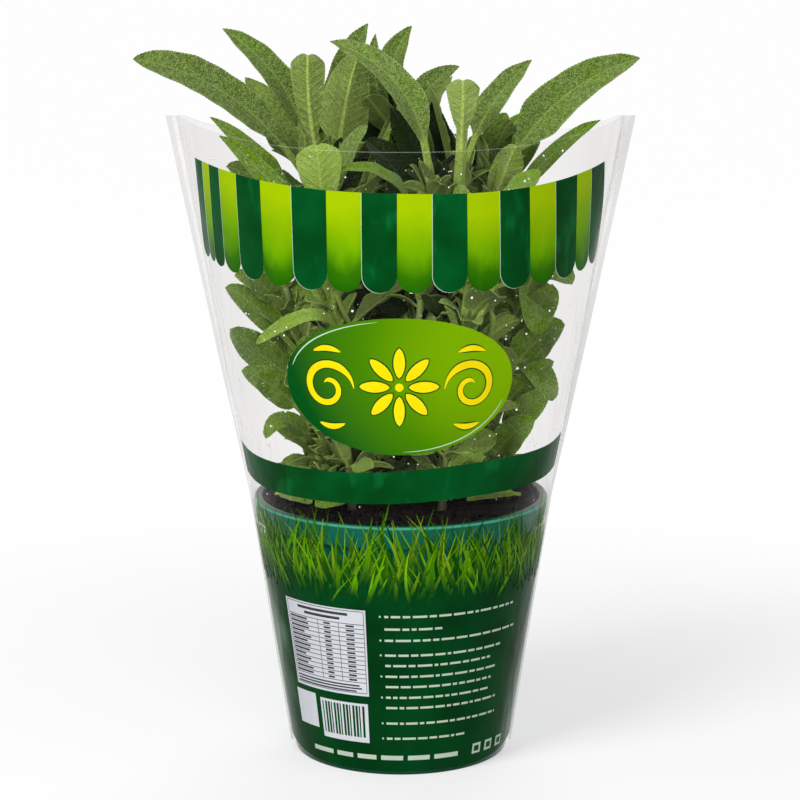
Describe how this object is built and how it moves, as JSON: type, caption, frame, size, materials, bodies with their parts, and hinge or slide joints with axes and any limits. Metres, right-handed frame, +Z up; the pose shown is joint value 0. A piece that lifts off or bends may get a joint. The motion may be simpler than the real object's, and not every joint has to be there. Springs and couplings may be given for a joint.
{
  "type": "potted sage",
  "caption": "Leafy sage plant in a round plastic nursery pot, wrapped in a clear conical film sleeve with a printed front.",
  "frame": {"origin": "centre of the pot's base, on the surface that it stands on, on the pot's axis", "axes": "+Z up along the pot's axis, -Y towards the printed front of the sleeve, X along the line between the sleeve's two flanges"},
  "size_m": [0.2308, 0.1706, 0.344],
  "materials": {
    "pot_plastic": "satin",
    "substrate": "matte",
    "film": "gloss",
    "sage_leaf": "matte"
  },
  "bodies": {
    "root": {"pot": "pot_plastic", "soil": "substrate", "sleeve": "film", "sage_stem_01": "sage_leaf", "sage_stem_02": "sage_leaf", "sage_stem_03": "sage_leaf", "sage_stem_04": "sage_leaf", "sage_stem_05": "sage_leaf", "sage_stem_06": "sage_leaf", "sage_stem_07": "sage_leaf", "sage_stem_08": "sage_leaf", "sage_stem_09": "sage_leaf", "sage_stem_10": "sage_leaf", "sage_stem_11": "sage_leaf", "sage_stem_12": "sage_leaf", "sage_stem_13": "sage_leaf", "sage_stem_14": "sage_leaf"}
  },
  "joints": []
}
